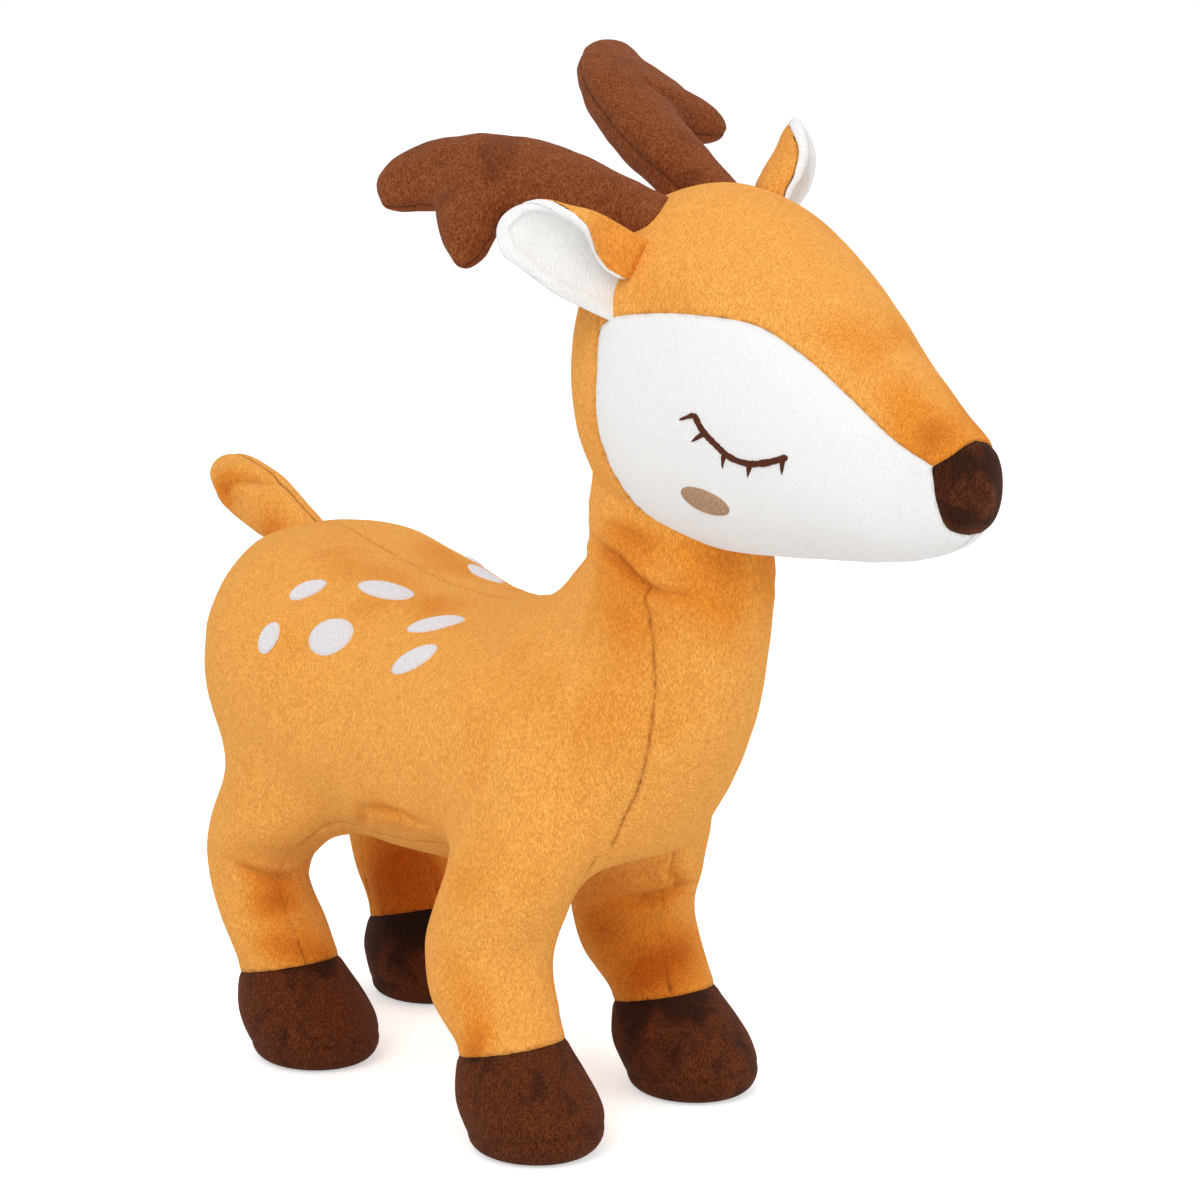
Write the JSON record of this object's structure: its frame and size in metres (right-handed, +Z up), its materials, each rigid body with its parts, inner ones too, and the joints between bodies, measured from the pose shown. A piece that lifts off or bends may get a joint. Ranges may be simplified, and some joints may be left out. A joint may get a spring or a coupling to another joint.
{
  "type": "plush deer",
  "caption": "Standing stuffed deer with embroidered closed eyes, spotted flanks, swept-back antlers, cupped ears and a short tail.",
  "frame": {"origin": "on the floor, below the middle of the bounding box", "axes": "+Z up, the deer faces -Y, its left side is +X"},
  "size_m": [0.1494, 0.412, 0.3858],
  "materials": {
    "orange_plush": "light golden orange short-pile plush, brushed",
    "white_plush": "white short-pile plush, brushed",
    "brown_plush": "dark brown short-pile plush, brushed",
    "spot_thread": "off-white satin-stitch embroidery",
    "eye_thread": "dark brown satin-stitch embroidery",
    "blush_thread": "taupe satin-stitch embroidery",
    "fibre_filling": "loose white polyester fibre"
  },
  "bodies": {
    "root": {"body_side_left": "orange_plush", "cheek_left": "white_plush", "head_back_left": "orange_plush", "eye_left": "eye_thread", "blush_left": "blush_thread", "spot_rear_top_left": "spot_thread", "spot_middle_left": "spot_thread", "spot_rear_left": "spot_thread", "spot_top_left": "spot_thread", "spot_front_top_left": "spot_thread", "spot_front_left": "spot_thread", "body_side_right": "orange_plush", "cheek_right": "white_plush", "head_back_right": "orange_plush", "eye_right": "eye_thread", "blush_right": "blush_thread", "spot_rear_top_right": "spot_thread", "spot_middle_right": "spot_thread", "spot_rear_right": "spot_thread", "spot_top_right": "spot_thread", "spot_front_top_right": "spot_thread", "spot_front_right": "spot_thread", "chest_panel": "orange_plush", "belly_panel": "orange_plush", "head_top": "orange_plush", "nose": "brown_plush", "hoof_front_left": "brown_plush", "sole_front_left": "brown_plush", "leg_stuffing_front_left": "fibre_filling", "hoof_front_right": "brown_plush", "sole_front_right": "brown_plush", "leg_stuffing_front_right": "fibre_filling", "hoof_hind_left": "brown_plush", "sole_hind_left": "brown_plush", "leg_stuffing_hind_left": "fibre_filling", "hoof_hind_right": "brown_plush", "sole_hind_right": "brown_plush", "leg_stuffing_hind_right": "fibre_filling", "torso_stuffing": "fibre_filling", "head_stuffing": "fibre_filling", "neck_stuffing": "fibre_filling"},
    "tail": {"tail_left_cloth": "orange_plush", "tail_right_cloth": "orange_plush", "tail_stuffing": "fibre_filling"},
    "ear_left": {"ear_left_outer_cloth": "orange_plush", "ear_left_inner_cloth": "white_plush"},
    "ear_right": {"ear_right_outer_cloth": "orange_plush", "ear_right_inner_cloth": "white_plush"},
    "antler_left": {"antler_left_front_cloth": "brown_plush", "antler_left_back_cloth": "brown_plush", "antler_left_stuffing": "fibre_filling"},
    "antler_right": {"antler_right_front_cloth": "brown_plush", "antler_right_back_cloth": "brown_plush", "antler_right_stuffing": "fibre_filling"}
  },
  "joints": [
    {"name": "tail_bend", "type": "hinge", "parent": "root", "child": "tail", "pos_m": [0.00129, 0.15123, 0.1915], "axis": [0, -0.2756, 0.9613], "range_deg": [-20, 20], "stiffness_Nm_per_rad": 0.1},
    {"name": "ear_left_bend", "type": "hinge", "parent": "root", "child": "ear_left", "pos_m": [0.03407, -0.06587, 0.31646], "axis": [-0.7006, -0.6852, 0.199], "range_deg": [-16, 16], "stiffness_Nm_per_rad": 0.03},
    {"name": "ear_right_bend", "type": "hinge", "parent": "root", "child": "ear_right", "pos_m": [-0.03479, -0.06951, 0.30902], "axis": [0.4353, -0.1967, 0.8786], "range_deg": [-16, 16], "stiffness_Nm_per_rad": 0.03},
    {"name": "antler_left_bend", "type": "hinge", "parent": "root", "child": "antler_left", "pos_m": [0.02329, -0.06132, 0.3301], "axis": [-0.9797, 0.1278, 0.1544], "range_deg": [-15, 15], "stiffness_Nm_per_rad": 0.4},
    {"name": "antler_right_bend", "type": "hinge", "parent": "root", "child": "antler_right", "pos_m": [-0.02071, -0.06132, 0.3301], "axis": [0.654, 0.1659, 0.738], "range_deg": [-15, 15], "stiffness_Nm_per_rad": 0.4}
  ]
}
